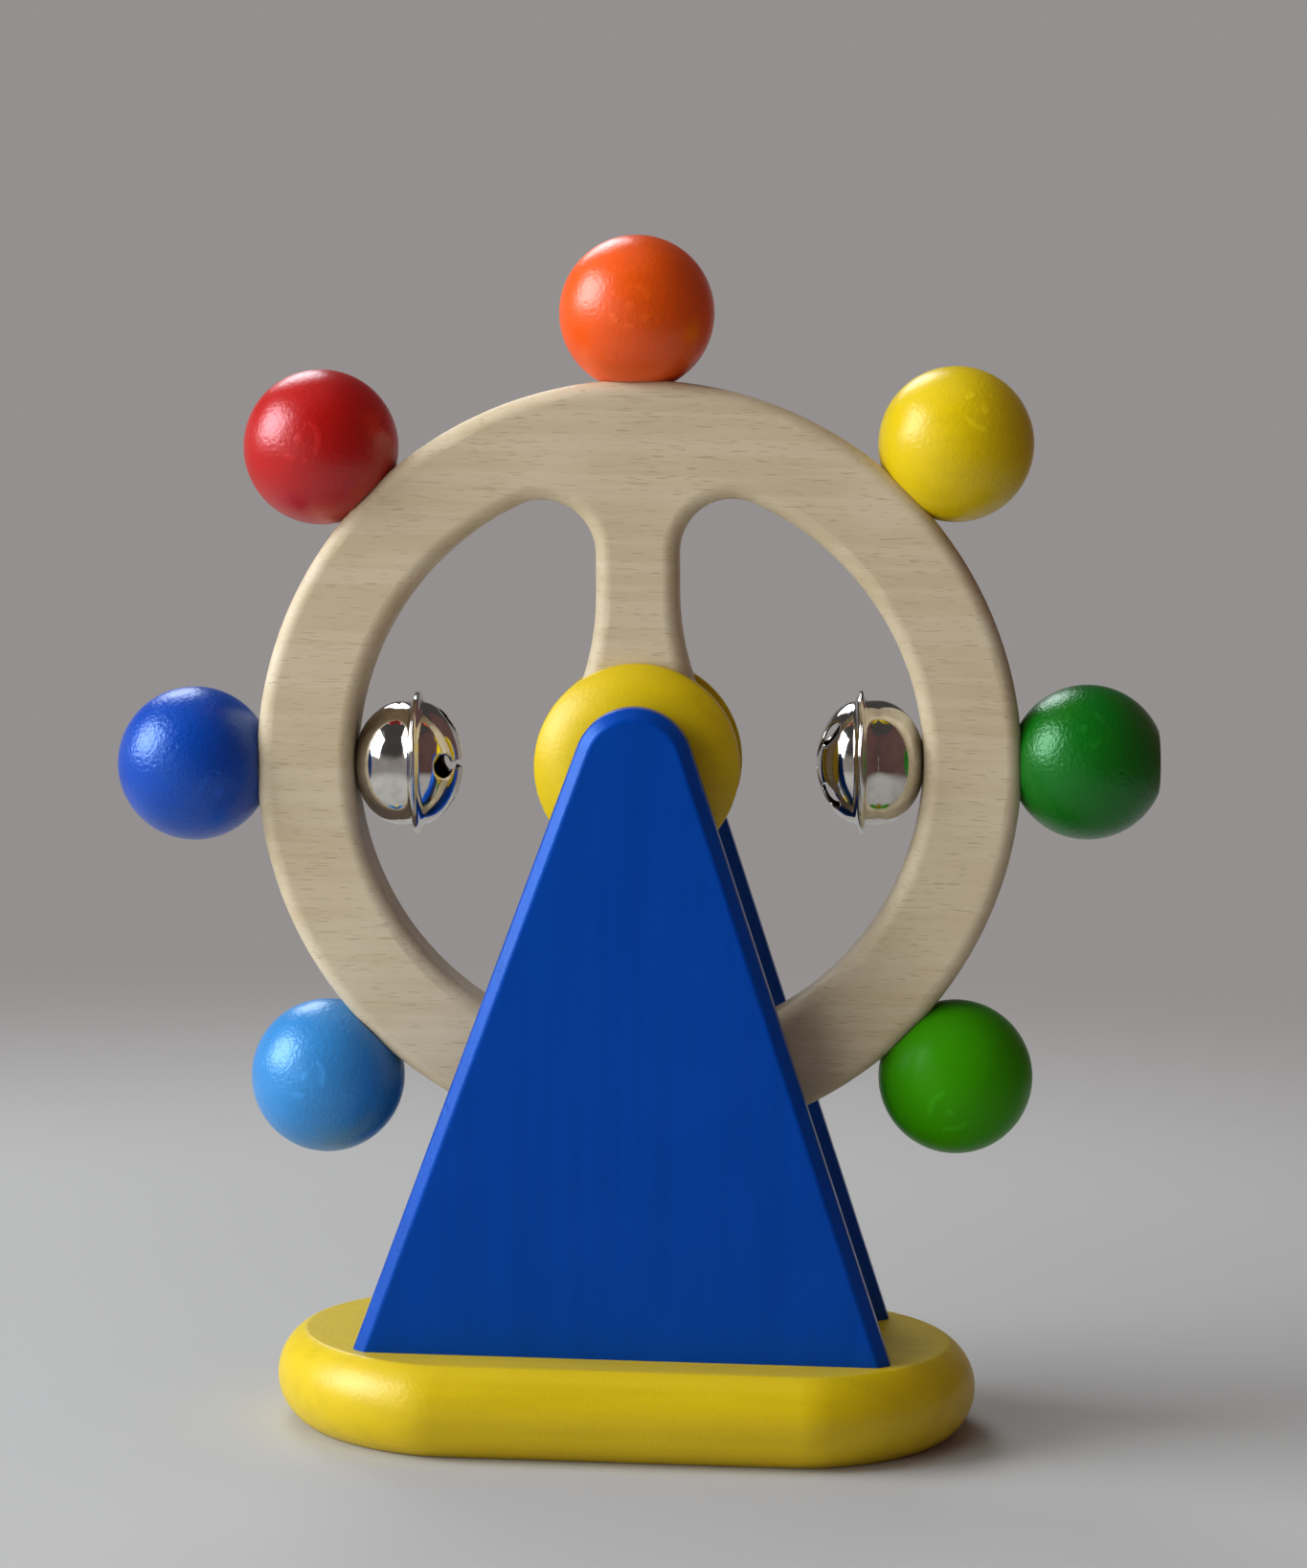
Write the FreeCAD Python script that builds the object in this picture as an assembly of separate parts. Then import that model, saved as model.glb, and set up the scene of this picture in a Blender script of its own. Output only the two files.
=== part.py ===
import FreeCAD, Part
import math
import os

# A wooden ferris wheel rattle, spun by hand: a base plate carries two upright boards, and a wheel
# with eight turned balls and two jingle bells turns between them on a fixed dowel.
# Millimetres and degrees. X runs along the base, Y from the front board to the rear one, Z up.
# The origin lies on the table, under the middle of the wheel.

# Base plate
base_thickness = 11.7
base_end_margin = 11.3  # base past the boards, along X
base_edge_margin = 9.8  # base past the boards, along Y
base_end_flattening = 0.9  # radius of the rounded ends past half the base's depth
base_nose = 3.5  # how far the rounded edge stands out past the flat top
base_corner_radius = 5.0  # where a rounded end meets a straight side

# Support boards
support_thickness = 6.0
support_width = 68.8
support_above_axle = 8.2
support_apex_radius = 7.6
support_chamfer = 1.5
support_dowel_diameter = 4.0
support_dowel_spacing = 40.0
support_dowel_in_board = 9.0
support_dowel_in_base = 8.0

# Wheel
wheel_diameter = 98.8
wheel_thickness = 10.0
wheel_roundover = 2.0
rim_width = 12.6
spoke_width = 10.6
spoke_straight = 5.2  # between each flare and the corner of the window
boss_diameter = 22.0
window_corner_radius = 7.0
wheel_rest_angle = 1.5  # anticlockwise, seen from the front
axle_diameter = 8.0
axle_in_board = 4.0

# Hub discs
hub_diameter = 26.4
hub_edge_height = 2.0
hub_face_diameter = 12.0
hub_edge_rounding = 0.9

# Balls
ball_diameter = 20.0
ball_flat_diameter = 9.5
ball_seat_depth = 0.25  # spot face in the rim under each ball
ball_dowel_diameter = 4.0
ball_dowel_in_rim = 6.0
ball_dowel_in_ball = 7.0
outer_flat_diameter = 8.0  # sanded flat on the far side of the dark green ball
ball_names = ["dark_green", "yellow", "orange", "red", "blue", "light_blue", "turquoise", "light_green"]

# Bells
bell_diameter = 16.1
bell_flange_diameter = 18.7
bell_sheet = 0.3
bell_flange_root = 0.8  # each cup's flange where it leaves the wall, across its thickness
bell_flange_edge = 0.15  # the same at its rim
bell_back_depth = 8.0
bell_shoulder = 2.2  # straight wall between the flange and the rounded back
bell_front_depth = 5.7
bell_seat_diameter = 5.0
bell_slot_width = 1.0
bell_slot_reach = 5.6  # from the bell's axis to each slot's end hole
bell_slot_hole_diameter = 3.0
stud_diameter = 1.6
stud_head_diameter = 4.0
stud_head_height = 0.8
stud_in_rim = 4.5
pellet_diameter = 5.0

# Clearances
running_clearance = 0.08  # radial, wheel on axle
hub_end_play = 0.5  # each hub disc to its board
ball_clearance = 1.0  # each ball to the board it passes
ball_to_base = 7.0
glue_gap = 0.05  # radial, round a glued dowel or a driven stud
dowel_end_gap = 0.5
seat_margin = 0.3  # spot face past the ball's flat, all round
pellet_clearance = 0.2

# Places that follow from the sizes above
ball_radius = ball_diameter / 2
ball_flat_distance = math.sqrt(ball_radius**2 - (ball_flat_diameter / 2) ** 2)
ball_seat_radius = wheel_diameter / 2 - ball_seat_depth
ball_circle_radius = ball_seat_radius + ball_flat_distance
axle_height = base_thickness + ball_to_base + ball_radius + ball_circle_radius
board_inner_y = ball_radius + ball_clearance
board_outer_y = board_inner_y + support_thickness
board_middle_y = (board_inner_y + board_outer_y) / 2
base_length = support_width + 2 * base_end_margin
base_depth = 2 * (board_outer_y + base_edge_margin)
base_end_radius = base_depth / 2 + base_end_flattening
support_height = axle_height + support_above_axle - base_thickness
hub_height = board_inner_y - hub_end_play - wheel_thickness / 2
window_radius = wheel_diameter / 2 - rim_width
bell_seat_x = math.sqrt(window_radius**2 - (bell_seat_diameter / 2) ** 2)
bell_flange_x = bell_seat_x - bell_back_depth
pellet_drop = bell_diameter / 2 - bell_sheet - pellet_clearance - pellet_diameter / 2

os.makedirs("parts", exist_ok=True)


def vec(x, y, z):
    return FreeCAD.Vector(x, y, z)


def save(name, *solids):
    shape = solids[0] if len(solids) == 1 else Part.makeCompound(list(solids))
    shape.exportStep("parts/" + name + ".step")


def line(p, q):
    return Part.LineSegment(p, q).toShape()


def arc(p, q, r):
    return Part.Arc(p, q, r).toShape()


def face(*edges):
    return Part.Face(Part.Wire(list(edges)))


def on_circle(centre_x, centre_z, radius, degrees, y):
    a = math.radians(degrees)
    return vec(centre_x + radius * math.cos(a), y, centre_z + radius * math.sin(a))


def circle_arc(centre_x, centre_z, radius, start, end, y):
    points = [on_circle(centre_x, centre_z, radius, a, y) for a in (start, (start + end) / 2, end)]
    return arc(*points)


def rod(radius, start_x, end_x):
    """A cylinder along X."""
    return Part.makeCylinder(radius, end_x - start_x, vec(start_x, 0, 0), vec(1, 0, 0))


def spin(shape, degrees):
    """Turn a piece about the wheel's axis, anticlockwise seen from the front."""
    turned = shape.copy()
    turned.rotate(vec(0, 0, 0), vec(0, -1, 0), degrees)
    return turned


def on_wheel(shape, degrees=0.0):
    """Set a piece that was drawn about the wheel's centre in its place on the resting wheel."""
    placed = spin(shape, degrees + wheel_rest_angle)
    placed.translate(vec(0, 0, axle_height))
    return placed


# ---- base and boards ----


def nose(offset):
    """The rounded edge in the XZ plane: an arc from the bottom face to the top face."""
    flat = offset - base_nose
    half = base_thickness / 2
    return arc(vec(flat, 0, 0), vec(offset, 0, half), vec(flat, 0, base_thickness))


def nosed_slab(half_width, start, length):
    """A slab along Y whose two sides carry the rounded edge, half_width from its middle."""
    right = nose(half_width)
    left = right.mirror(vec(0, 0, 0), vec(1, 0, 0))
    flat = half_width - base_nose
    top = line(vec(flat, 0, base_thickness), vec(-flat, 0, base_thickness))
    bottom = line(vec(-flat, 0, 0), vec(flat, 0, 0))
    slab = face(right, top, left, bottom).extrude(vec(0, length, 0))
    slab.translate(vec(0, start, 0))
    return slab


def nosed_disc():
    flat = base_end_radius - base_nose
    outline = face(
        line(vec(0, 0, 0), vec(flat, 0, 0)),
        nose(base_end_radius),
        line(vec(flat, 0, base_thickness), vec(0, 0, base_thickness)),
        line(vec(0, 0, base_thickness), vec(0, 0, 0)),
    )
    return outline.revolve(vec(0, 0, 0), vec(0, 0, 1), 360)


def support_dowel_places(y):
    return [vec(side * support_dowel_spacing / 2, y, base_thickness) for side in (-1, 1)]


def support_sockets(y):
    radius = support_dowel_diameter / 2 + glue_gap
    below = support_dowel_in_base + dowel_end_gap
    above = support_dowel_in_board + dowel_end_gap
    places = [p - vec(0, 0, below) for p in support_dowel_places(y)]
    return [Part.makeCylinder(radius, below + above, p) for p in places]


def base_plate():
    centre = base_length / 2 - base_end_radius
    slab = nosed_slab(base_end_radius, -centre, 2 * centre)
    slab.rotate(vec(0, 0, 0), vec(0, 0, 1), 90)
    ends = [nosed_disc().translate(vec(side * centre, 0, 0)) for side in (-1, 1)]
    plan = slab.fuse(ends)
    sides = nosed_slab(base_depth / 2, -base_length, 2 * base_length)
    sides.rotate(vec(0, 0, 0), vec(0, 0, 1), 90)
    plate = plan.common(sides).removeSplitter()
    plate = plate.makeFillet(base_corner_radius, corner_edges(plate))
    return plate.cut(support_sockets(-board_middle_y) + support_sockets(board_middle_y))


def corner_edges(plate):
    """The four edges that rise through the full thickness, where ends and straight sides meet."""
    return [
        edge
        for edge in plate.Edges
        if edge.BoundBox.ZLength > base_thickness * 0.9
        and edge.BoundBox.YLength > 0.1
        and abs(edge.CenterOfMass.x) > 1
    ]


def support_side_angle():
    """Angle of the sloping sides from upright: they touch the apex arc and end at the base's width."""
    rise = support_height - support_apex_radius
    run = support_width / 2
    reach = math.hypot(rise, run)
    return math.degrees(math.acos(support_apex_radius / reach) - math.atan2(rise, run))


def support_board(inner_y, outer_y):
    low_y = min(inner_y, outer_y)
    half = support_width / 2
    centre_z = base_thickness + support_height - support_apex_radius
    lean = support_side_angle()
    left_foot = vec(-half, low_y, base_thickness)
    right_foot = vec(half, low_y, base_thickness)
    apex = circle_arc(0, centre_z, support_apex_radius, lean, 180 - lean, low_y)
    right_touch = apex.Vertexes[0].Point
    left_touch = apex.Vertexes[1].Point
    outline = face(
        line(left_foot, right_foot),
        line(right_foot, right_touch),
        apex,
        line(left_touch, left_foot),
    )
    board = outline.extrude(vec(0, support_thickness, 0))
    rims = [e for e in board.Edges if e.BoundBox.YLength < 0.01 and e.BoundBox.ZLength > 0.01]
    board = board.makeChamfer(support_chamfer, rims)
    inward = 1 if outer_y > inner_y else -1
    socket = Part.makeCylinder(
        axle_diameter / 2 + glue_gap,
        axle_in_board,
        vec(0, inner_y, axle_height),
        vec(0, inward, 0),
    )
    return board.cut([socket] + support_sockets((inner_y + outer_y) / 2))


def support_dowels(y):
    radius = support_dowel_diameter / 2
    length = support_dowel_in_base + support_dowel_in_board
    places = [p - vec(0, 0, support_dowel_in_base) for p in support_dowel_places(y)]
    return [Part.makeCylinder(radius, length, p) for p in places]


def axle():
    half = board_inner_y + axle_in_board - dowel_end_gap
    return Part.makeCylinder(axle_diameter / 2, 2 * half, vec(0, -half, axle_height), vec(0, 1, 0))


# ---- wheel ----


def window():
    """The right-hand window, between spoke, boss and rim, cut through the wheel's thickness."""
    y = -wheel_thickness
    half = spoke_width / 2
    boss = boss_diameter / 2
    corner = window_corner_radius
    corner_x = half + corner
    corner_z = math.sqrt((window_radius - corner) ** 2 - corner_x**2)
    corner_angle = math.degrees(math.atan2(corner_z, corner_x))
    # Each flare touches the boss and the spoke's straight side.
    flare_z = corner_z - spoke_straight
    flare_radius = (flare_z**2 + half**2 - boss**2) / (2 * (boss - half))
    flare_x = half + flare_radius
    flare_angle = math.degrees(math.atan2(flare_z, flare_x))
    outline = face(
        circle_arc(0, 0, boss, -flare_angle, flare_angle, y),
        circle_arc(flare_x, flare_z, flare_radius, 180 + flare_angle, 180, y),
        line(vec(half, y, flare_z), vec(half, y, corner_z)),
        circle_arc(corner_x, corner_z, corner, 180, corner_angle, y),
        circle_arc(0, 0, window_radius, corner_angle, -corner_angle, y),
        circle_arc(corner_x, -corner_z, corner, -corner_angle, -180, y),
        line(vec(half, y, -corner_z), vec(half, y, -flare_z)),
        circle_arc(flare_x, -flare_z, flare_radius, 180, 180 - flare_angle, y),
    )
    return outline.extrude(vec(0, 2 * wheel_thickness, 0))


def ball_angles():
    return [360 / len(ball_names) * i for i in range(len(ball_names))]


def ball_socket():
    """Spot face and dowel hole in the rim, for a ball on the +X side."""
    outside = wheel_diameter / 2 + 1
    seat = rod(ball_flat_diameter / 2 + seat_margin, ball_seat_radius, outside)
    depth = ball_dowel_in_rim + dowel_end_gap
    hole = rod(ball_dowel_diameter / 2 + glue_gap, ball_seat_radius - depth, outside)
    return seat.fuse(hole)


def wheel_ring():
    half = wheel_thickness / 2
    disc = Part.makeCylinder(wheel_diameter / 2, wheel_thickness, vec(0, -half, 0), vec(0, 1, 0))
    wheel = disc.cut([window(), spin(window(), 180)])
    rims = [e for e in wheel.Edges if e.BoundBox.YLength < 0.01]
    wheel = wheel.makeFillet(wheel_roundover, rims)
    bore = Part.makeCylinder(
        axle_diameter / 2 + running_clearance, wheel_thickness, vec(0, -half, 0), vec(0, 1, 0)
    )
    cuts = [bore] + [spin(ball_socket(), a) for a in ball_angles()]
    pilot = rod(stud_diameter / 2 + glue_gap, bell_flange_x, window_radius + stud_in_rim)
    cuts += [spin(pilot, a) for a in (0, 180)]
    return wheel.cut(cuts)


def hub_disc():
    """A domed disc in front of the wheel, bored for the axle, its dome towards -Y."""
    back = -wheel_thickness / 2
    edge = back - hub_edge_height
    top = back - hub_height
    rim = hub_diameter / 2
    crown = hub_face_diameter / 2
    bore = axle_diameter / 2 + running_clearance
    drop = hub_height - hub_edge_height
    dome_radius = ((rim - crown) ** 2 + drop**2) / (2 * drop)
    middle = math.atan2(rim - crown, dome_radius - drop) / 2
    dome_point = vec(
        crown + dome_radius * math.sin(middle), top + dome_radius * (1 - math.cos(middle)), 0
    )
    outline = face(
        line(vec(bore, back, 0), vec(rim, back, 0)),
        line(vec(rim, back, 0), vec(rim, edge, 0)),
        arc(vec(rim, edge, 0), dome_point, vec(crown, top, 0)),
        line(vec(crown, top, 0), vec(bore, top, 0)),
        line(vec(bore, top, 0), vec(bore, back, 0)),
    )
    disc = outline.revolve(vec(0, 0, 0), vec(0, 1, 0), 360)
    brow = [e for e in disc.Edges if e.BoundBox.YLength < 0.01 and abs(e.CenterOfMass.y - edge) < 0.01]
    return disc.makeFillet(hub_edge_rounding, brow)


def ball(name):
    """A turned ball on the +X side, with a flat towards the rim and a blind dowel hole."""
    solid = Part.makeSphere(ball_radius, vec(ball_circle_radius, 0, 0))
    solid = solid.cut(rod(ball_radius, 0, ball_seat_radius))
    if name == "dark_green":
        reach = math.sqrt(ball_radius**2 - (outer_flat_diameter / 2) ** 2)
        flat_x = ball_circle_radius + reach
        solid = solid.cut(rod(ball_radius, flat_x, flat_x + ball_radius))
    depth = ball_dowel_in_ball + dowel_end_gap
    return solid.cut(rod(ball_dowel_diameter / 2 + glue_gap, 0, ball_seat_radius + depth))


def ball_dowel():
    start = ball_seat_radius - ball_dowel_in_rim
    return rod(ball_dowel_diameter / 2, start, ball_seat_radius + ball_dowel_in_ball)


# ---- bells, drawn about the Y axis with the flange joint at Y = 0 and the dome towards +Y ----


def ellipse_arc(across, along, middle_y, start, end):
    """Arc round the bell's axis, from angle start to angle end, counted from the flange's plane."""
    centre = vec(0, middle_y, 0)
    side = vec(across, middle_y, 0)
    pole = vec(0, middle_y + along, 0)
    if across >= along:
        return Part.ArcOfEllipse(Part.Ellipse(side, pole, centre), start, end).toShape()
    quarter = math.pi / 2
    return Part.ArcOfEllipse(Part.Ellipse(pole, side, centre), quarter - end, quarter - start).toShape()


def bell_front_cup(slot_angle):
    """The cup with two crossed slots, turned by slot_angle about the bell's axis."""
    outer = bell_diameter / 2
    inner = outer - bell_sheet
    flange = bell_flange_diameter / 2
    foot = math.asin(bell_flange_root / bell_front_depth)
    outline = face(
        ellipse_arc(inner, bell_front_depth - bell_sheet, 0, 0, math.pi / 2),
        line(vec(0, bell_front_depth - bell_sheet, 0), vec(0, bell_front_depth, 0)),
        ellipse_arc(outer, bell_front_depth, 0, foot, math.pi / 2),
        line(vec(outer * math.cos(foot), bell_flange_root, 0), vec(flange, bell_flange_edge, 0)),
        line(vec(flange, bell_flange_edge, 0), vec(flange, 0, 0)),
        line(vec(flange, 0, 0), vec(inner, 0, 0)),
    )
    cup = outline.revolve(vec(0, 0, 0), vec(0, 1, 0), 360)
    base = bell_front_depth / 4
    cuts = []
    for turn in (0, 90):
        half = bell_slot_width / 2
        slot = Part.makeBox(
            2 * bell_slot_reach, bell_front_depth, bell_slot_width, vec(-bell_slot_reach, base, -half)
        )
        ends = [
            Part.makeCylinder(
                bell_slot_hole_diameter / 2, bell_front_depth, vec(x, base, 0), vec(0, 1, 0)
            )
            for x in (-bell_slot_reach, bell_slot_reach)
        ]
        cross = slot.fuse(ends)
        cross.rotate(vec(0, 0, 0), vec(0, 1, 0), turn)
        cuts.append(cross)
    cup = cup.cut(cuts)
    cup.rotate(vec(0, 0, 0), vec(0, 1, 0), slot_angle)
    return cup


def bell_back_cup():
    outer = bell_diameter / 2
    inner = outer - bell_sheet
    flange = bell_flange_diameter / 2
    seat = bell_seat_diameter / 2
    depth = bell_back_depth - bell_shoulder
    # The outer ellipse is stretched so that it passes the seat's edge at the cup's full depth.
    along = depth / math.sqrt(1 - (seat / outer) ** 2)
    end = math.acos(seat / outer)
    back = ellipse_arc(outer, along, bell_shoulder, 0, end)
    floor_y = bell_back_depth - bell_sheet
    inner_seat = seat - bell_sheet
    inner_along = (depth - bell_sheet) / math.sqrt(1 - (inner_seat / inner) ** 2)
    inner_back = ellipse_arc(inner, inner_along, bell_shoulder, 0, math.acos(inner_seat / inner))
    hole = stud_diameter / 2 + glue_gap
    outline = face(
        line(vec(inner, 0, 0), vec(flange, 0, 0)),
        line(vec(flange, 0, 0), vec(flange, bell_flange_edge, 0)),
        line(vec(flange, bell_flange_edge, 0), vec(outer, bell_flange_root, 0)),
        line(vec(outer, bell_flange_root, 0), vec(outer, bell_shoulder, 0)),
        back,
        line(vec(seat, bell_back_depth, 0), vec(hole, bell_back_depth, 0)),
        line(vec(hole, bell_back_depth, 0), vec(hole, floor_y, 0)),
        line(vec(hole, floor_y, 0), vec(inner_seat, floor_y, 0)),
        inner_back,
        line(vec(inner, bell_shoulder, 0), vec(inner, 0, 0)),
    )
    cup = outline.revolve(vec(0, 0, 0), vec(0, 1, 0), 360)
    cup.rotate(vec(0, 0, 0), vec(1, 0, 0), 180)
    return cup


def bell_piece(shape):
    """Lay a bell piece down on the +X side of the rim, its dome towards the hub."""
    placed = shape.copy()
    placed.rotate(vec(0, 0, 0), vec(0, 0, 1), 90)
    placed.translate(vec(bell_flange_x, 0, 0))
    return placed


def bell_stud():
    head_x = bell_seat_x - bell_sheet
    head = rod(stud_head_diameter / 2, head_x - stud_head_height, head_x)
    crown = [e for e in head.Edges if abs(e.CenterOfMass.x - head_x + stud_head_height) < 0.01]
    head = head.makeFillet(stud_head_height / 2, crown)
    shank = rod(stud_diameter / 2, head_x, window_radius + stud_in_rim - dowel_end_gap)
    return head.fuse(shank)


def pellet(side):
    """A loose ball that lies at the bottom of its bell; side is +1 on the right, -1 on the left."""
    return Part.makeSphere(pellet_diameter / 2, vec(side * bell_flange_x, 0, -pellet_drop))


save("base_plate", base_plate())
save("front_support", support_board(-board_inner_y, -board_outer_y))
save("rear_support", support_board(board_inner_y, board_outer_y))
save("front_support_dowels", *support_dowels(-board_middle_y))
save("rear_support_dowels", *support_dowels(board_middle_y))
save("axle", axle())

save("wheel_ring", on_wheel(wheel_ring()))
rear_hub = hub_disc()
rear_hub.rotate(vec(0, 0, 0), vec(0, 0, 1), 180)
save("front_hub", on_wheel(hub_disc()))
save("rear_hub", on_wheel(rear_hub))

for ball_name, ball_angle in zip(ball_names, ball_angles()):
    save("ball_" + ball_name, on_wheel(ball(ball_name), ball_angle))
    save("dowel_" + ball_name, on_wheel(ball_dowel(), ball_angle))

for bell_name, bell_angle, bell_side, slot_angle in (("right", 0, 1, 45), ("left", 180, -1, 0)):
    save(bell_name + "_bell_back_cup", on_wheel(bell_piece(bell_back_cup()), bell_angle))
    save(bell_name + "_bell_front_cup", on_wheel(bell_piece(bell_front_cup(slot_angle)), bell_angle))
    save(bell_name + "_bell_stud", on_wheel(bell_stud(), bell_angle))
    save(bell_name + "_bell_pellet", on_wheel(pellet(bell_side)))
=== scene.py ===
"""A wooden ferris wheel toy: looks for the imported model.

Metres. X runs along the base, Y from the front board to the rear one, Z up from the table.
"""

import math

import bmesh
import bpy
from mathutils import Matrix, Vector


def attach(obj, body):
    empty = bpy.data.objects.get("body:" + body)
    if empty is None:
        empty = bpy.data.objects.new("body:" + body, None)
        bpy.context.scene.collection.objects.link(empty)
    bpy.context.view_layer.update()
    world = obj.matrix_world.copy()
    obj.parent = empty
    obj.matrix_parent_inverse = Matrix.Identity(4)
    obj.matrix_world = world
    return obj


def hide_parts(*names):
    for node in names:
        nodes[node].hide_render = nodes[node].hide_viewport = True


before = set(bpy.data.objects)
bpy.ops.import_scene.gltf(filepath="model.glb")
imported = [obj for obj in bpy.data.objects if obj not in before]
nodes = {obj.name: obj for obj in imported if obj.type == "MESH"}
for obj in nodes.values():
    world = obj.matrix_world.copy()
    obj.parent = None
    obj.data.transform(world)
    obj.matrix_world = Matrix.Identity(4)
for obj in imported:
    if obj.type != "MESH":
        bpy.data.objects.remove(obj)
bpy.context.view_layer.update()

MM = 0.001
WELD = 1e-6  # metres: points nearer than this are one point

# ---- sizes of the toy, in millimetres, as the solids have them ----

BASE_LENGTH = 91.4
BASE_DEPTH = 53.6
BASE_THICKNESS = 11.7
BASE_END_RADIUS = 27.7
BASE_NOSE = 3.5
BASE_CORNER_RADIUS = 12.0
BASE_CREASE_EASING = 1.2  # radius where the rounded edge runs into the flat top
BASE_FLAT_MARGIN = 2.5  # strip of flat top and bottom modelled inside the rounded edge

BOARD_WIDTH = 68.8
BOARD_HEIGHT = 83.15
BOARD_THICKNESS = 6.0
BOARD_APEX_RADIUS = 7.6
BOARD_CHAMFER = 1.5
BOARD_INNER_Y = 11.0
BOARD_OUTER_EASING = 0.9  # radius that sanding gives the chamfer on the side that shows
BOARD_INNER_EASING = 0.3

AXLE_HEIGHT = 86.65
WHEEL_REST_ANGLE = 1.5  # degrees, anticlockwise seen from the front

BALL_RADIUS = 10.0
BALL_CIRCLE_RADIUS = 57.95
BALL_SEAT_FLAT = 8.8  # from the ball's centre to the flat that sits on the rim
BALL_OUTER_FLAT = 9.165  # the same for the flat sanded on the dark green ball
BALL_NO_FLAT = BALL_RADIUS + 1  # beyond the ball, so nothing is cut off
BALL_EDGE_EASING = 0.2
BALL_GRID = 97  # points along and round a ball
LATHE_RING_RADIUS = 2.6
LATHE_RING_FADE = (0.05, 0.7)  # from the ring's line: full up to the first, gone at the second
LATHE_DOT_FADE = (0.2, 0.9)  # the same from the pole

BELL_DISTANCE = 28.715
BELL_RADIUS = 8.05
BELL_FLANGE_RADIUS = 9.35
BELL_FLANGE_ROOT = 0.3  # the crimp starts this far out from the cup
CRIMP_INWARD = 0.16
CRIMP_SIDEWAYS = 0.12
CRIMP_SEED = 1.7


# ---- colour and node helpers ----


def linear(hex_colour):
    """An sRGB hex colour as linear RGBA."""
    parts = [int(hex_colour[i : i + 2], 16) / 255 for i in (1, 3, 5)]
    return [c / 12.92 if c <= 0.04045 else ((c + 0.055) / 1.055) ** 2.4 for c in parts] + [1.0]


def add(tree, kind, inputs=None, **settings):
    """Add a node with its settings; each input is a value or the socket that feeds it."""
    node = tree.nodes.new(kind)
    for name, value in settings.items():
        setattr(node, name, value)
    for socket, value in (inputs or {}).items():
        if isinstance(value, bpy.types.NodeSocket):
            tree.links.new(value, node.inputs[socket])
        else:
            node.inputs[socket].default_value = value
    return node


def new_finish(name):
    """A new material with its principled shader; returns material, node tree and shader."""
    material = bpy.data.materials.new(name)
    material.use_nodes = True
    tree = material.node_tree
    tree.nodes.clear()
    shader = add(tree, "ShaderNodeBsdfPrincipled")
    add(tree, "ShaderNodeOutputMaterial", {"Surface": shader.outputs["BSDF"]})
    return material, tree, shader


def stretched_noise(tree, sizes, detail=2.0, roughness=0.5, turn=(0, 0, 0), centre=(0, 0, 0)):
    """Noise in object space whose features measure about sizes (x, y, z) millimetres."""
    place = add(tree, "ShaderNodeTexCoord").outputs["Object"]
    if centre != (0, 0, 0):
        place = add(
            tree,
            "ShaderNodeVectorMath",
            {0: place, 1: [c * MM for c in centre]},
            operation="SUBTRACT",
        ).outputs["Vector"]
    scaled = add(
        tree,
        "ShaderNodeMapping",
        {"Vector": place, "Rotation": turn, "Scale": [1 / (s * MM) for s in sizes]},
    )
    noise = add(
        tree,
        "ShaderNodeTexNoise",
        {"Vector": scaled.outputs[0], "Scale": 1.0, "Detail": detail, "Roughness": roughness},
    )
    return noise.outputs["Fac"]


def ramp(tree, value, low, high, to_low=0.0, to_high=1.0):
    """Map value from low..high to to_low..to_high, clamped."""
    node = add(
        tree,
        "ShaderNodeMapRange",
        {
            "Value": value,
            "From Min": low,
            "From Max": high,
            "To Min": to_low,
            "To Max": to_high,
        },
        interpolation_type="SMOOTHSTEP",
    )
    return node.outputs["Result"]


def blend_colours(tree, factor, first, second):
    """First where factor is 0, second where it is 1."""
    node = add(tree, "ShaderNodeMix", data_type="RGBA", blend_type="MIX")
    for socket, value in ((0, factor), (6, first), (7, second)):
        if isinstance(value, bpy.types.NodeSocket):
            tree.links.new(value, node.inputs[socket])
        else:
            node.inputs[socket].default_value = value
    return node.outputs[2]


def bumped(tree, height, depth, strength=1.0, below=None):
    """A normal from height (0 to 1) whose full range is depth millimetres."""
    inputs = {"Height": height, "Distance": depth * MM, "Strength": strength}
    if below is not None:
        inputs["Normal"] = below
    return add(tree, "ShaderNodeBump", inputs).outputs["Normal"]


# ---- finishes ----


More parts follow.
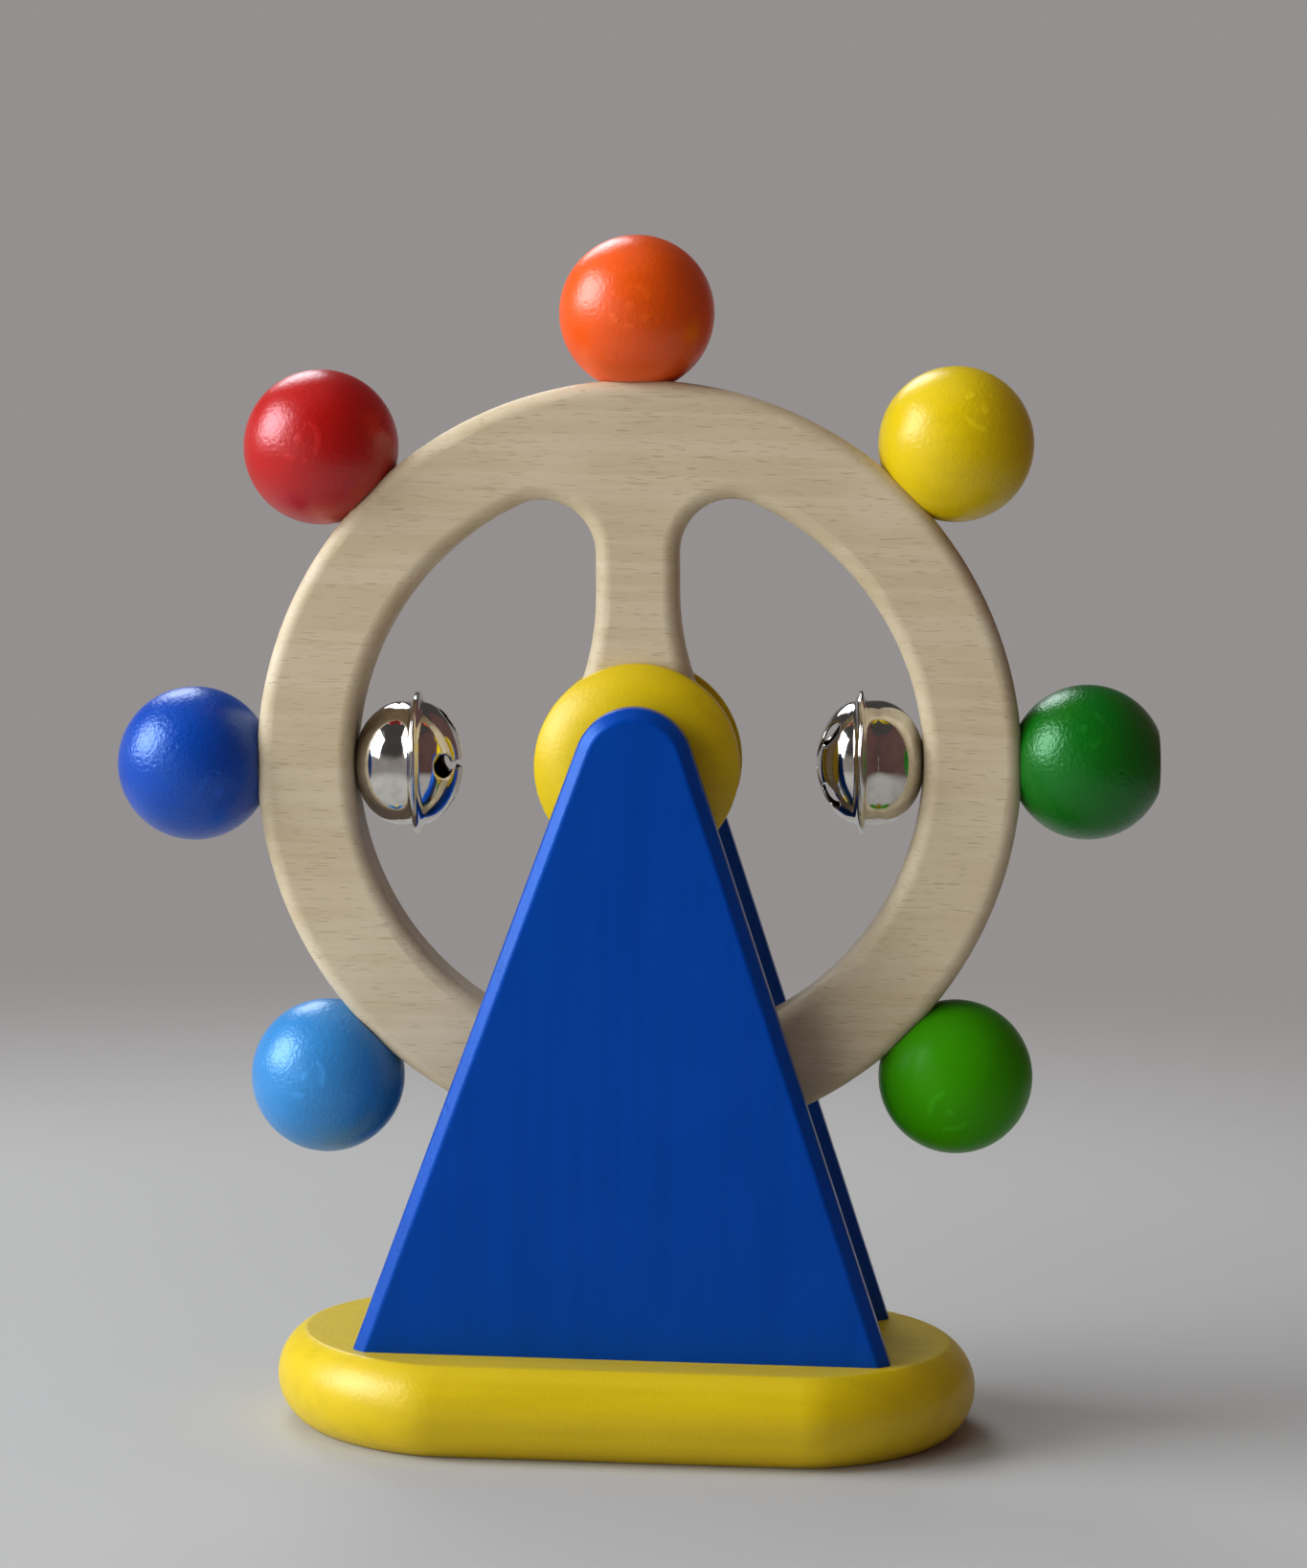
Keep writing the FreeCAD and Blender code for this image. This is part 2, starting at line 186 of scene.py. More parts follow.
def lathe_ring(tree, centre, pole):
    """A broken ring and a dot, 0 to 1, where the lathe's tool let go of the ball at its pole; the
    lacquer bumps them and paints them lighter as a painted highlight.
    """
    place = add(tree, "ShaderNodeTexCoord").outputs["Object"]
    middle = [c * MM for c in centre]
    arm = add(tree, "ShaderNodeVectorMath", {0: place, 1: middle}, operation="SUBTRACT").outputs[0]
    away = add(tree, "ShaderNodeVectorMath", {0: arm, 1: pole}, operation="CROSS_PRODUCT")
    away = away.outputs[0]
    reach = add(tree, "ShaderNodeVectorMath", {0: away}, operation="LENGTH").outputs["Value"]
    facing = add(tree, "ShaderNodeVectorMath", {0: arm, 1: pole}, operation="DOT_PRODUCT")
    ring = add(tree, "ShaderNodeMath", {0: reach, 1: LATHE_RING_RADIUS * MM}, operation="SUBTRACT")
    ring = add(tree, "ShaderNodeMath", {0: ring.outputs[0]}, operation="ABSOLUTE").outputs[0]
    ring = ramp(tree, ring, LATHE_RING_FADE[0] * MM, LATHE_RING_FADE[1] * MM, 1.0, 0.0)
    worn = ramp(tree, stretched_noise(tree, (2.5, 2.5, 2.5), centre=centre), 0.5, 0.58)
    ring = add(tree, "ShaderNodeMath", {0: ring, 1: worn}, operation="MULTIPLY").outputs[0]
    dot = ramp(tree, reach, LATHE_DOT_FADE[0] * MM, LATHE_DOT_FADE[1] * MM, 1.0, 0.0)
    mark_and_glint = add(tree, "ShaderNodeMath", {0: ring, 1: dot}, operation="MAXIMUM").outputs[0]
    front = ramp(tree, facing.outputs["Value"], 0.0, MM)
    return add(tree, "ShaderNodeMath", {0: mark_and_glint, 1: front}, operation="MULTIPLY").outputs[0]


def satin_lacquer(
    name,
    colour,
    grain_sizes,
    centre=(0, 0, 0),
    grain_turn=(0, 0, 0),
    roughness=0.3,
    gloss=0.4,
    sheen="#ffffff",
    deepest=0.93,
    peel_depth=0.05,
    pole=None,
):
    """Pigmented satin lacquer sprayed on wood: even colour, a soft gloss, a fine pebbly skin.

    The grain below telegraphs through as slightly darker and sunken lines. The skin has the
    orange peel of a sprayed coat and a few pits; sheen tints the gloss where pigment floats up.
    """
    material, tree, shader = new_finish(name)
    grain = stretched_noise(tree, grain_sizes, detail=3.0, turn=grain_turn, centre=centre)
    cloud = stretched_noise(tree, (14, 14, 14), detail=1.0, centre=centre)
    body = linear(colour)
    deep = [c * deepest for c in body[:3]] + [1.0]
    pale = [min(1.0, c * 1.05 + 0.001) for c in body[:3]] + [1.0]
    tone = blend_colours(tree, ramp(tree, grain, 0.3, 0.6), deep, body)
    tone = blend_colours(tree, ramp(tree, cloud, 0.45, 0.75, 0.0, 0.5), tone, pale)
    peel = stretched_noise(tree, (0.5, 0.5, 0.5), detail=1.5, centre=centre)
    pits = stretched_noise(tree, (1.1, 1.1, 1.1), detail=0.0, centre=centre)
    skin = bumped(tree, grain, 0.02, 0.5)
    skin = bumped(tree, peel, peel_depth, 1.0, skin)
    skin = bumped(tree, ramp(tree, pits, 0.72, 0.84, 1.0, 0.0), peel_depth * 0.4, 0.8, skin)
    if pole:
        mark_and_glint = lathe_ring(tree, centre, pole)
        skin = bumped(tree, mark_and_glint, 0.03, 1.0, skin)
        # The ring and dot are painted 1.5 times lighter than the lacquer: a painted highlight for
        # the glint on their ridge; the bump is the mark itself.
        painted_glint = [min(1.0, c * 1.5 + 0.01) for c in body[:3]] + [1.0]
        tone = blend_colours(tree, ramp(tree, mark_and_glint, 0.0, 1.0, 0.0, 0.35), tone, painted_glint)
    rubbed = ramp(tree, cloud, 0.3, 0.7, roughness, roughness + 0.05)
    for socket, value in (("Base Color", tone), ("Normal", skin), ("Roughness", rubbed)):
        tree.links.new(value, shader.inputs[socket])
    shader.inputs["IOR"].default_value = 1.5
    shader.inputs["Specular IOR Level"].default_value = gloss
    shader.inputs["Specular Tint"].default_value = linear(sheen)
    return material


def waxed_beech():
    """Sanded and waxed beech, sawn with its grain along X: cream, with short dark ray flecks.

    Growth rings show as faint bands and the rays as thin dashes 1 to 3 mm long.
    """
    material, tree, shader = new_finish("waxed_beech")
    bands = stretched_noise(tree, (60, 3.0, 1.6), detail=2.0)
    fibres = stretched_noise(tree, (7, 0.5, 0.28), detail=3.0, roughness=0.6)
    flecks = stretched_noise(tree, (2.2, 0.4, 0.16), detail=0.0)
    patch = stretched_noise(tree, (20, 20, 12), detail=1.0)
    cream = linear("#cdbd9f")
    warm = linear("#c5b492")
    light = linear("#d4c7ab")
    brown = linear("#8f7c5c")
    tone = blend_colours(tree, ramp(tree, bands, 0.38, 0.62), warm, cream)
    tone = blend_colours(tree, ramp(tree, patch, 0.4, 0.7, 0.0, 0.6), tone, light)
    tone = blend_colours(tree, ramp(tree, fibres, 0.5, 0.7, 0.0, 0.5), tone, warm)
    tone = blend_colours(tree, ramp(tree, flecks, 0.68, 0.8, 0.0, 0.4), tone, brown)
    skin = bumped(tree, fibres, 0.03, 0.5)
    skin = bumped(tree, ramp(tree, flecks, 0.7, 0.78, 1.0, 0.0), 0.04, 0.5, skin)
    tree.links.new(tone, shader.inputs["Base Color"])
    tree.links.new(skin, shader.inputs["Normal"])
    tree.links.new(ramp(tree, fibres, 0.3, 0.7, 0.5, 0.62), shader.inputs["Roughness"])
    shader.inputs["IOR"].default_value = 1.45
    return material


def raw_dowel():
    """Unfinished beech dowel with its grain along the rod; only ends and gaps of it ever show."""
    material, tree, shader = new_finish("raw_dowel")
    fibres = stretched_noise(tree, (6, 0.5, 0.4), detail=3.0)
    tone = blend_colours(tree, ramp(tree, fibres, 0.35, 0.65), linear("#b59a70"), linear("#c9b48c"))
    tree.links.new(tone, shader.inputs["Base Color"])
    tree.links.new(bumped(tree, fibres, 0.03, 0.6), shader.inputs["Normal"])
    shader.inputs["Roughness"].default_value = 0.65
    return material


def bright_nickel():
    """Pressed steel sheet plated with bright nickel: a warm mirror, faintly wavy from the press."""
    material, tree, shader = new_finish("bright_nickel_plate")
    wave = stretched_noise(tree, (4, 4, 4), detail=1.0)
    haze = stretched_noise(tree, (1.2, 1.2, 1.2), detail=3.0)
    tone = blend_colours(tree, ramp(tree, haze, 0.4, 0.7), linear("#dddad3"), linear("#cfcbc1"))
    tree.links.new(tone, shader.inputs["Base Color"])
    tree.links.new(bumped(tree, wave, 0.06, 0.5), shader.inputs["Normal"])
    tree.links.new(ramp(tree, haze, 0.45, 0.75, 0.07, 0.12), shader.inputs["Roughness"])
    shader.inputs["Metallic"].default_value = 1.0
    return material


def nickel_painted_shade():
    """The same plate inside a cup, dull, and painted dark grey: painted shade for the cup's hollow.
    """
    material, tree, shader = new_finish("nickel_with_painted_shade_inside_bell")
    haze = stretched_noise(tree, (1.5, 1.5, 1.5), detail=3.0)
    tone = blend_colours(tree, ramp(tree, haze, 0.4, 0.7), linear("#3b3834"), linear("#4a4640"))
    tree.links.new(tone, shader.inputs["Base Color"])
    tree.links.new(ramp(tree, haze, 0.4, 0.7, 0.42, 0.55), shader.inputs["Roughness"])
    shader.inputs["Metallic"].default_value = 1.0
    return material


def bare_steel():
    """Plain drawn steel wire and shot: grey, with a soft sheen; it sits inside the bells."""
    material, tree, shader = new_finish("bare_steel")
    haze = stretched_noise(tree, (0.7, 0.7, 0.7), detail=3.0)
    tone = blend_colours(tree, ramp(tree, haze, 0.35, 0.65), linear("#77777a"), linear("#8d8c8a"))
    tree.links.new(tone, shader.inputs["Base Color"])
    tree.links.new(ramp(tree, haze, 0.3, 0.7, 0.28, 0.4), shader.inputs["Roughness"])
    shader.inputs["Metallic"].default_value = 1.0
    return material


# ---- mesh helpers ----


def new_object(name, mesh):
    piece = bpy.data.objects.new(name, mesh)
    bpy.context.scene.collection.objects.link(piece)
    return piece


def settle(piece):
    """Turn a piece with live modifiers into a plain mesh."""
    graph = bpy.context.evaluated_depsgraph_get()
    finished = bpy.data.meshes.new_from_object(piece.evaluated_get(graph))
    piece.modifiers.clear()
    piece.data = finished
    piece.data.name = piece.name
    return piece


def dress(piece, material):
    piece.data.materials.clear()
    piece.data.materials.append(material)


def rings_to_mesh(name, rings):
    """Skin closed rings of points, all of one length, and close both ends. Millimetres in."""
    bm = bmesh.new()
    rows = [[bm.verts.new([c * MM for c in point]) for point in ring] for ring in rings]
    count = len(rings[0])
    for lower, upper in zip(rows, rows[1:]):
        for i in range(count):
            j = (i + 1) % count
            bm.faces.new((lower[i], lower[j], upper[j], upper[i]))
    bm.faces.new(reversed(rows[0]))
    bm.faces.new(rows[-1])
    bmesh.ops.recalc_face_normals(bm, faces=bm.faces)
    for face in bm.faces:
        face.smooth = True
    mesh = bpy.data.meshes.new(name)
    bm.to_mesh(mesh)
    bm.free()
    return mesh


def arc_points(centre, radius, start, end, steps):
    """Points on an arc in a plane, from angle start to end in degrees."""
    points = []
    for i in range(steps + 1):
        a = math.radians(start + (end - start) * i / steps)
        points.append((centre[0] + radius * math.cos(a), centre[1] + radius * math.sin(a)))
    return points


# ---- base plate ----


def base_outline(inset):
    """The plate's plan, inset from its widest line: round ends, straight sides, soft corners."""
    end_centre = BASE_LENGTH / 2 - BASE_END_RADIUS
    corner = BASE_CORNER_RADIUS
    across = BASE_DEPTH / 2 - inset - corner
    reach = BASE_END_RADIUS - inset - corner
    along = math.sqrt(reach**2 - across**2)
    turn = math.degrees(math.atan2(across, along))
    corner_x = end_centre + along
    end = arc_points((end_centre, 0), BASE_END_RADIUS - inset, 0, turn, 32)
    soft_corner = arc_points((corner_x, across), corner, turn, 90, 10)[1:]
    straight = [(corner_x * (1 - i / 20), BASE_DEPTH / 2 - inset) for i in range(1, 21)]
    quarter = end + soft_corner + straight
    rear = quarter + [(-x, y) for x, y in reversed(quarter[:-1])]
    return rear + [(x, -y) for x, y in reversed(rear[1:-1])]


def nose_profile():
    """(inset, height) of the rounded edge from bottom to top, with the creases eased."""
    half = BASE_THICKNESS / 2
    nose = (BASE_NOSE**2 + half**2) / (2 * BASE_NOSE)
    ease = BASE_CREASE_EASING
    run = math.sqrt((nose - ease) ** 2 - (half - ease) ** 2)
    turn = math.degrees(math.atan2(half - ease, run))
    bottom = arc_points((nose - run, ease), ease, 270, 180 + turn, 5)
    side = arc_points((nose, half), nose, 180 + turn, 180 - turn, 24)[1:]
    top = arc_points((nose - run, BASE_THICKNESS - ease), ease, 180 - turn, 90, 5)[1:]
    return bottom + side + top


def make_base():
    profile = nose_profile()
    inner = BASE_NOSE + BASE_FLAT_MARGIN
    profile = [(inner, 0.0)] + profile + [(inner, BASE_THICKNESS)]
    rings = [[(x, y, height) for x, y in base_outline(inset)] for inset, height in profile]
    plate = new_object("lacquered_base", rings_to_mesh("lacquered_base", rings))
    plate.modifiers.new("even_shading", "WEIGHTED_NORMAL").keep_sharp = False
    return settle(plate)


# ---- support boards ----


def board_outline(inset):
    """The board's triangle with its rounded apex, inset everywhere but at the foot."""
    rise = BOARD_HEIGHT - BOARD_APEX_RADIUS
    run = BOARD_WIDTH / 2
    lean = math.acos(BOARD_APEX_RADIUS / math.hypot(rise, run)) - math.atan2(rise, run)
    foot = run - inset / math.cos(lean)
    lean = math.degrees(lean)
    centre = (0, BASE_THICKNESS + rise)
    apex = arc_points(centre, BOARD_APEX_RADIUS - inset, lean, 180 - lean, 48)
    return [(foot, BASE_THICKNESS)] + apex + [(-foot, BASE_THICKNESS)]


def sanded_chamfer(radius):
    """(inset, depth) from the board's side to its face, with both creases rounded by radius."""
    touch = BOARD_CHAMFER + radius * math.tan(math.radians(22.5))
    from_side = arc_points((radius, touch), radius, 180, 225, 6)
    return from_side + arc_points((touch, radius), radius, 225, 270, 6)


def make_board(name, side):
    """One board; side is -1 for the front one and +1 for the rear one."""
    inner = BOARD_INNER_Y
    outer = inner + BOARD_THICKNESS
    rows = [(inset, inner + depth) for inset, depth in reversed(sanded_chamfer(BOARD_INNER_EASING))]
    rows += [(inset, outer - depth) for inset, depth in sanded_chamfer(BOARD_OUTER_EASING)]
    rings = [[(x, side * y, z) for x, z in board_outline(inset)] for inset, y in rows]
    board = new_object(name, rings_to_mesh(name, rings))
    easing = board.modifiers.new("eased_foot", "BEVEL")
    easing.width = BOARD_INNER_EASING * MM
    easing.segments = 3
    easing.limit_method = "ANGLE"
    easing.angle_limit = math.radians(25)
    board.modifiers.new("even_shading", "WEIGHTED_NORMAL").keep_sharp = False
    return settle(board)


# ---- turned balls ----


def turned_ball_tree():
    """Geometry nodes that turn a ball, flatten it where it meets the rim and set it in place."""
    tree = bpy.data.node_groups.new("turned_ball", "GeometryNodeTree")
    for name in (
        "Radius",
        "Seat Flat",
        "Outer Flat",
        "Edge Easing",
        "Centre Distance",
        "Angle",
        "Axle Height",
    ):
        tree.interface.new_socket(name, in_out="INPUT", socket_type="NodeSocketFloat")
    tree.interface.new_socket("Finish", in_out="INPUT", socket_type="NodeSocketMaterial")
    tree.interface.new_socket("Ball", in_out="OUTPUT", socket_type="NodeSocketGeometry")
    given = add(tree, "NodeGroupInput").outputs

    def math_node(operation, first, second=0.0, third=0.0):
        return add(
            tree, "ShaderNodeMath", {0: first, 1: second, 2: third}, operation=operation
        ).outputs[0]

    grid = add(
        tree,
        "GeometryNodeMeshGrid",
        {"Size X": 1.0, "Size Y": 1.0, "Vertices X": BALL_GRID, "Vertices Y": BALL_GRID},
    )
    spot = add(tree, "GeometryNodeInputPosition").outputs[0]
    parts = add(tree, "ShaderNodeSeparateXYZ", {0: spot}).outputs
    around = math_node("MULTIPLY", parts["X"], 2 * math.pi)
    polar = math_node("MULTIPLY", math_node("ADD", parts["Y"], 0.5), math.pi)
    along = math_node("MULTIPLY", math_node("COSINE", polar), given["Radius"])
    out = math_node("MULTIPLY", math_node("SINE", polar), given["Radius"])
    seat = math_node("MULTIPLY", given["Seat Flat"], -1.0)
    along = math_node("SMOOTH_MAX", along, seat, given["Edge Easing"])
    along = math_node("SMOOTH_MIN", along, given["Outer Flat"], given["Edge Easing"])
    place = add(
        tree,
        "ShaderNodeCombineXYZ",
        {
            "X": math_node("ADD", along, given["Centre Distance"]),
            "Y": math_node("MULTIPLY", out, math_node("COSINE", around)),
            "Z": math_node("MULTIPLY", out, math_node("SINE", around)),
        },
    )
    turned = add(
        tree,
        "GeometryNodeSetPosition",
        {"Geometry": grid.outputs["Mesh"], "Position": place.outputs[0]},
    )
    closed = add(
        tree, "GeometryNodeMergeByDistance", {"Geometry": turned.outputs[0], "Distance": WELD}
    )
    turn = add(tree, "ShaderNodeCombineXYZ", {"Y": math_node("MULTIPLY", given["Angle"], -1.0)})
    lift = add(tree, "ShaderNodeCombineXYZ", {"Z": given["Axle Height"]})
    placed = add(
        tree,
        "GeometryNodeTransform",
        {
            "Geometry": closed.outputs[0],
            "Rotation": turn.outputs[0],
            "Translation": lift.outputs[0],
        },
    )
    smooth = add(tree, "GeometryNodeSetShadeSmooth", {"Geometry": placed.outputs[0]})
    real = add(tree, "GeometryNodeRealizeInstances", {"Geometry": smooth.outputs[0]})
    dressed = add(
        tree,
        "GeometryNodeSetMaterial",
        {"Geometry": real.outputs[0], "Material": given["Finish"]},
    )
    add(tree, "NodeGroupOutput", {"Ball": dressed.outputs[0]})
    return tree


def make_ball(tree, name, angle, outer_flat, finish):
    piece = new_object(name, bpy.data.meshes.new(name))
    maker = piece.modifiers.new("turned_ball", "NODES")
    maker.node_group = tree
    sizes = {
        "Radius": BALL_RADIUS * MM,
        "Seat Flat": BALL_SEAT_FLAT * MM,
        "Outer Flat": outer_flat * MM,
        "Edge Easing": BALL_EDGE_EASING * MM,
        "Centre Distance": BALL_CIRCLE_RADIUS * MM,
        "Angle": math.radians(angle + WHEEL_REST_ANGLE),
        "Axle Height": AXLE_HEIGHT * MM,
        "Finish": finish,
    }
    for socket in tree.interface.items_tree:
        if socket.in_out == "INPUT":
            maker[socket.identifier] = sizes[socket.name]
    return settle(piece)


def ball_centre(angle):
    a = math.radians(angle + WHEEL_REST_ANGLE)
    return (BALL_CIRCLE_RADIUS * math.cos(a), 0.0, AXLE_HEIGHT + BALL_CIRCLE_RADIUS * math.sin(a))


# ---- jingle bells ----


def crimped_cup(node, name, side, seed, outside, inside):
    """A bell cup whose thin flange is crimped by hand tools: its edge is a little uneven.

    Faces that look into the cup get the second material, the painted shade of the inside.
    """
    bm = bmesh.new()
    bm.from_mesh(nodes[node].data)
    bmesh.ops.remove_doubles(bm, verts=bm.verts, dist=WELD)
    tilt = math.radians(WHEEL_REST_ANGLE)
    axis = Vector((math.cos(tilt), 0, math.sin(tilt))) * side
    across = axis.cross(Vector((0, 1, 0)))
    centre = Vector((0, 0, AXLE_HEIGHT * MM))
    for vert in bm.verts:
        arm = vert.co - centre
        arm -= axis * arm.dot(axis)
        reach = arm.length / MM
        if reach > BELL_RADIUS + BELL_FLANGE_ROOT:
            phi = math.atan2(arm.dot(across), arm.y)
            uneven = 0.5 + 0.5 * math.sin(9 * phi + seed) * math.sin(5 * phi + 2.1 * seed)
            width = BELL_FLANGE_RADIUS - BELL_RADIUS - BELL_FLANGE_ROOT
            share = (reach - BELL_RADIUS - BELL_FLANGE_ROOT) / width
            vert.co -= arm.normalized() * CRIMP_INWARD * MM * uneven * share
            vert.co += axis * CRIMP_SIDEWAYS * MM * math.sin(7 * phi + seed) * share
    middle = centre + axis * BELL_DISTANCE * MM
    bm.normal_update()
    for face in bm.faces:
        face.smooth = True
        outward = (face.calc_center_median() - middle).normalized()
        face.material_index = 1 if face.normal.dot(outward) < -0.4 else 0
    mesh = bpy.data.meshes.new(name)
    bm.to_mesh(mesh)
    bm.free()
    mesh.materials.append(outside)
    mesh.materials.append(inside)
    return new_object(name, mesh)


# ---- stage, lamps and camera ----

FLOOR_FADE_START = 0.17  # metres from the toy
FLOOR_RADIUS = 0.45
SCREEN_RADIUS = 1.0
SCREEN_START, SCREEN_SWEEP = 4, 146  # degrees from the front, towards the right and round behind
SCREEN_STEPS = 24
SCREEN_EDGES = (-0.5, 1.5)  # heights of its lower and upper edge


def make_floor():
    """A pale round table top that fades into the pale room beyond it, with no hard horizon."""
    bm = bmesh.new()
    bmesh.ops.create_circle(bm, cap_ends=True, radius=FLOOR_RADIUS, segments=96)
    mesh = bpy.data.meshes.new("floor")
    bm.to_mesh(mesh)
    bm.free()
    floor = new_object("floor", mesh)
    material, tree, shader = new_finish("pale_table_top")
    cloud = stretched_noise(tree, (400, 400, 400), detail=1.0)
    tone = blend_colours(tree, ramp(tree, cloud, 0.3, 0.7), linear("#b6b5b2"), linear("#bebdba"))
    tree.links.new(tone, shader.inputs["Base Color"])
    shader.inputs["Roughness"].default_value = 0.7
    shader.inputs["Specular IOR Level"].default_value = 0.05
    spot = add(tree, "ShaderNodeTexCoord").outputs["Object"]
    reach = add(tree, "ShaderNodeVectorMath", {0: spot}, operation="LENGTH").outputs["Value"]
    solid = ramp(tree, reach, FLOOR_FADE_START, FLOOR_RADIUS, 1.0, 0.0)
    tree.links.new(solid, shader.inputs["Alpha"])
    dress(floor, material)


def make_screen():
    """A curved dark red cloth from the front round the right to behind, hidden from the camera.

    It keeps the room's pale walls from greying the lacquer and warms the shaded sides.
    """
    bm = bmesh.new()
    rows = []
    for i in range(SCREEN_STEPS + 1):
        a = math.radians(SCREEN_START + SCREEN_SWEEP * i / SCREEN_STEPS)
        x, y = SCREEN_RADIUS * math.sin(a), -SCREEN_RADIUS * math.cos(a)
        rows.append([bm.verts.new((x, y, z)) for z in SCREEN_EDGES])
    for first, second in zip(rows, rows[1:]):
        bm.faces.new((first[0], first[1], second[1], second[0]))
    mesh = bpy.data.meshes.new("dark_screen")
    bm.to_mesh(mesh)
    bm.free()
    screen = new_object("dark_screen", mesh)
    screen.visible_camera = False
    material, tree, shader = new_finish("dark_red_cloth")
    weave = stretched_noise(tree, (3, 3, 3), detail=2.0)
    tone = blend_colours(tree, ramp(tree, weave, 0.3, 0.7), linear("#5c3f3c"), linear("#684845"))
    tree.links.new(tone, shader.inputs["Base Color"])
    shader.inputs["Roughness"].default_value = 0.9
    dress(screen, material)


def make_lamp(name, direction, distance, size, level, tint="#ffffff", on_gloss=True, on_matt=True):
    """A window-like lamp; a white surface that faces it squarely renders at level.

    on_gloss and on_matt say whether it shows in reflections and whether it lights matt surfaces.
    """
    data = bpy.data.lights.new(name, "AREA")
    data.shape = "RECTANGLE"
    data.size, data.size_y = size
    data.color = linear(tint)[:3]
    data.energy = level * (math.pi * distance) ** 2
    lamp = bpy.data.objects.new(name, data)
    toward = Vector(direction).normalized()
    lamp.location = Vector((0, 0, AXLE_HEIGHT * MM)) + toward * distance
    lamp.rotation_euler = toward.to_track_quat("Z", "Y").to_euler()
    lamp.visible_camera = False
    lamp.visible_glossy = on_gloss
    lamp.visible_diffuse = on_matt
    bpy.context.scene.collection.objects.link(lamp)


def make_room():
    """A room with pale walls as high as the toy sees them side on, and dark overhead."""
    world = bpy.data.worlds.new("room")
    bpy.context.scene.world = world
    world.use_nodes = True
    tree = world.node_tree
    tree.nodes.clear()
    way = add(tree, "ShaderNodeTexCoord").outputs["Generated"]
    height = add(tree, "ShaderNodeSeparateXYZ", {0: way}).outputs["Z"]
    overhead = ramp(tree, height, 0.1, 0.34)
    tone = blend_colours(tree, overhead, linear("#94908f"), linear("#464445"))
    light = add(tree, "ShaderNodeBackground", {"Color": tone, "Strength": 1.0})
    add(tree, "ShaderNodeOutputWorld", {"Surface": light.outputs[0]})


def make_camera():
    """A portrait lens 55 cm away, 25 mm right of the middle and 5 degrees above the axle."""
    picture_width, picture_height = 1365.0, 1637.0
    focal_pixels = 4427.5
    distance = 0.55
    yaw, pitch, roll = 0.0447, 0.0893, 0.0214
    aim_x, aim_y = 667.55, 796.1  # where the axle's middle lands in the picture
    level = Vector((-math.sin(yaw), math.cos(yaw), 0))
    right = Vector((math.cos(yaw), math.sin(yaw), 0))
    up = Vector((0, 0, 1))
    forward = level * math.cos(pitch) - up * math.sin(pitch)
    top = up * math.cos(pitch) + level * math.sin(pitch)
    rolled_right = right * math.cos(roll) + top * math.sin(roll)
    rolled_top = top * math.cos(roll) - right * math.sin(roll)
    data = bpy.data.cameras.new("camera")
    data.sensor_fit = "AUTO"
    data.sensor_width = 36.0
    data.lens = focal_pixels * data.sensor_width / picture_height
    data.clip_start = 0.02
    camera = bpy.data.objects.new("camera", data)
    bpy.context.scene.collection.objects.link(camera)
    off_x = (aim_x - picture_width / 2) / focal_pixels * distance
    off_y = (aim_y - picture_height / 2) / focal_pixels * distance
    middle = Vector((0, 0, AXLE_HEIGHT * MM))
    place = middle - forward * distance - rolled_right * off_x + rolled_top * off_y
    turn = Matrix((rolled_right, rolled_top, -forward)).transposed().to_4x4()
    camera.matrix_world = Matrix.Translation(place) @ turn
    bpy.context.scene.camera = camera


# ---- put the toy together ----

AZURE_SHEEN = "#b4daff"  # gloss of the blue balls
BOARD_SHEEN = "#6cb0ff"
yellow = satin_lacquer(
    "yellow_satin_lacquer_on_beech",
    "#d8ba0a",
    (40, 2.5, 2.5),
    roughness=0.37,
    gloss=0.36,
    peel_depth=0.035,
)
blue = satin_lacquer(
    "blue_satin_lacquer_on_beech",
    "#013fa1",
    (1.6, 1.6, 40),
    gloss=0.5,
    sheen=BOARD_SHEEN,
    deepest=0.9,
    peel_depth=0.025,
)
beech = waxed_beech()
dowel = raw_dowel()
steel = bare_steel()

base = make_base()
dress(base, yellow)
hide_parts("base_plate")
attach(base, "stand")

for board_name, board_node, board_side in (
    ("front_board", "front_support", -1),
    ("rear_board", "rear_support", 1),
):
    board = make_board(board_name, board_side)
    dress(board, blue)
    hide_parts(board_node)
    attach(board, "stand")

# name, place on the rim, colour, tint and strength of the gloss, depth of the orange peel in
# millimetres, and the (x, z) side of the pole in radii
BALLS = (
    ("dark_green", 0, "#02630a", "#c8ffd8", 0.65, 0.085, (-0.10, 0.50)),
    ("yellow", 45, "#dec004", "#ffffff", 0.34, 0.05, (0.35, 0.45)),
    ("orange", 90, "#e85302", "#fff0f0", 0.6, 0.05, (-0.03, 0.08)),
    ("red", 135, "#b20a02", "#fff0f8", 0.7, 0.055, (-0.16, 0.10)),
    ("blue", 180, "#0041a9", AZURE_SHEEN, 0.88, 0.09, (0.45, -0.30)),
    ("light_blue", 225, "#3585c8", AZURE_SHEEN, 0.82, 0.075, (-0.20, 0.12)),
    ("turquoise", 270, "#1e9a94", "#ffffff", 0.5, 0.06, (0.2, -0.2)),
    ("light_green", 315, "#369002", "#e8ffe0", 0.1, 0.03, (-0.08, -0.33)),
)
ball_tree = turned_ball_tree()
